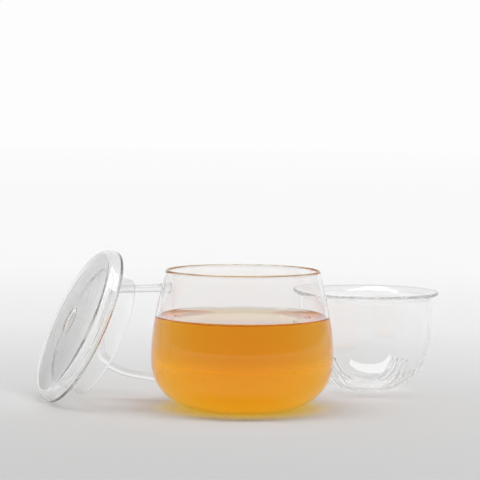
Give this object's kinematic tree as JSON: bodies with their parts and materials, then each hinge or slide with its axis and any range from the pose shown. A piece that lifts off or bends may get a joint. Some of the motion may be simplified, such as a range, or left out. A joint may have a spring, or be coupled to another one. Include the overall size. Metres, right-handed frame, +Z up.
{
  "type": "lidded tea mug with infuser",
  "caption": "Rounded clear glass tea mug with a rod handle, its slotted glass infuser cup standing beside it and its loose glass lid leaning on the handle.",
  "frame": {"origin": "centre of the mug's flat foot, on the table", "axes": "+Z up along the mug's axis, the handle points along -X, the infuser stands towards +Y"},
  "size_m": [0.2191, 0.1972, 0.0872],
  "materials": {
    "mug_glass": "clear, polished",
    "handle_glass": "clear, polished",
    "infuser_glass": "clear, polished, sawn slits left clear",
    "lid_glass": "clear, polished",
    "tea": "clear amber liquid, shown in the visual model only"
  },
  "bodies": {
    "mug": {"mug_bowl": "mug_glass", "mug_handle": "handle_glass"},
    "infuser": {"infuser_cup": "infuser_glass"},
    "lid": {"lid": "lid_glass"}
  },
  "joints": [
    {"name": "infuser_lift", "type": "slide", "parent": "mug", "child": "infuser", "axis": [0, 0, 1], "range_m": [0, 0.12]},
    {"name": "lid_lift", "type": "slide", "parent": "mug", "child": "lid", "axis": [-0.7163, -0.5536, 0.4248], "range_m": [0, 0.1]}
  ]
}
